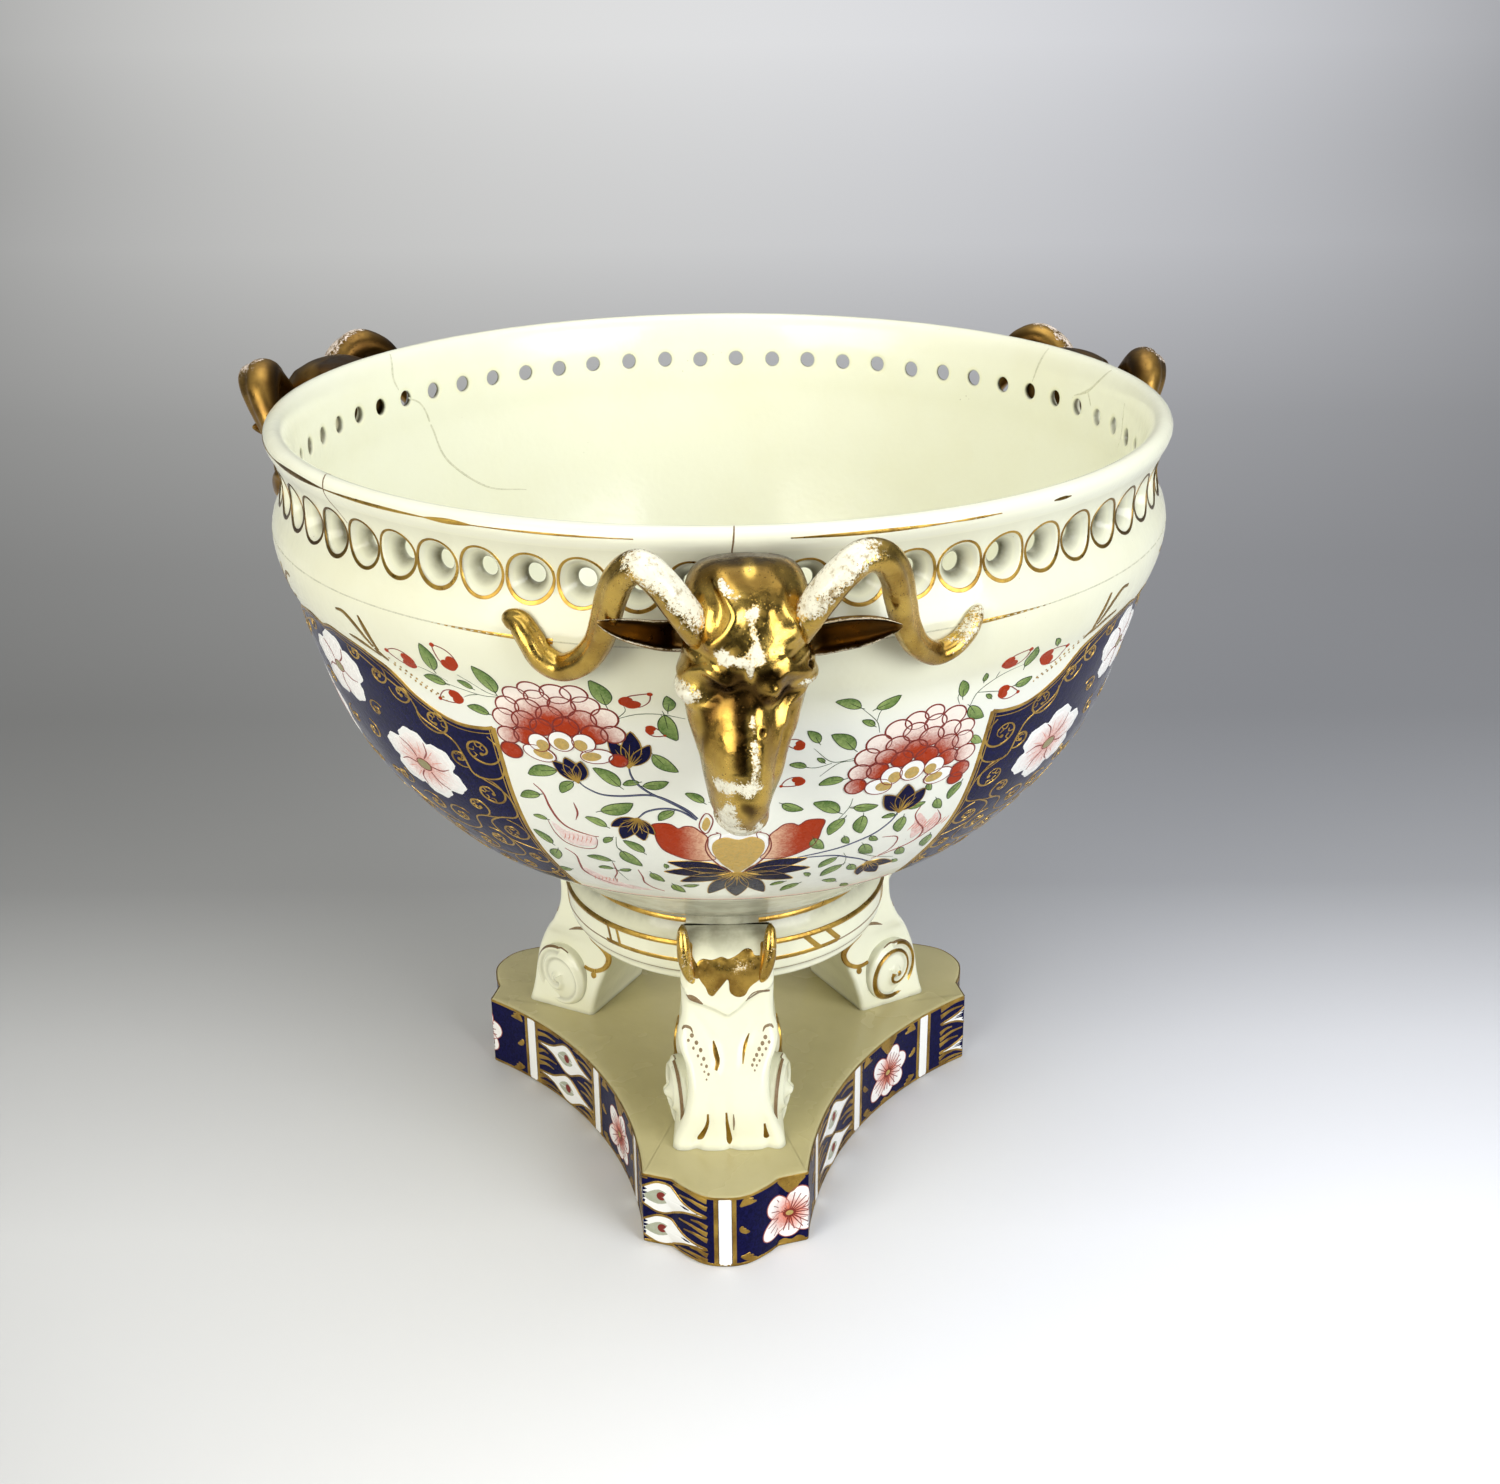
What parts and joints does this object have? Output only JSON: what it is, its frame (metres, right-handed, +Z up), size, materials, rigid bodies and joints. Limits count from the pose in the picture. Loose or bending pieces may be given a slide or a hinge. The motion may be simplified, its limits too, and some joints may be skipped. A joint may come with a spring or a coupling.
{
  "type": "potpourri bowl",
  "caption": "Footed potpourri bowl in painted and gilt ironstone, with a pierced rim, applied ram heads, scroll legs and a lobed plinth.",
  "frame": {"origin": "on the bowl's axis, at the underside of the plinth", "axes": "+Z up along the bowl's axis; -Y to the front lobe of the plinth, which the front leg stands on"},
  "size_m": [0.2566, 0.2544, 0.2171],
  "materials": {
    "ivory_glaze": "glossy",
    "khaki_glaze": "glossy",
    "gilding": "polished",
    "cement": "matte"
  },
  "bodies": {
    "root": {"plinth": "khaki_glaze", "stand_collar": "ivory_glaze", "leg_front": "ivory_glaze", "leg_back_right": "ivory_glaze", "leg_back_left": "ivory_glaze", "foot_cement": "cement", "bowl": "ivory_glaze", "ram_head_front": "gilding", "ram_horn_front_left": "gilding", "ram_ear_front_left": "gilding", "ram_horn_front_right": "gilding", "ram_ear_front_right": "gilding", "ram_head_back_right": "gilding", "ram_horn_back_right_left": "gilding", "ram_ear_back_right_left": "gilding", "ram_horn_back_right_right": "gilding", "ram_ear_back_right_right": "gilding", "ram_head_back_left": "gilding", "ram_horn_back_left_left": "gilding", "ram_ear_back_left_left": "gilding", "ram_horn_back_left_right": "gilding", "ram_ear_back_left_right": "gilding"}
  },
  "joints": []
}
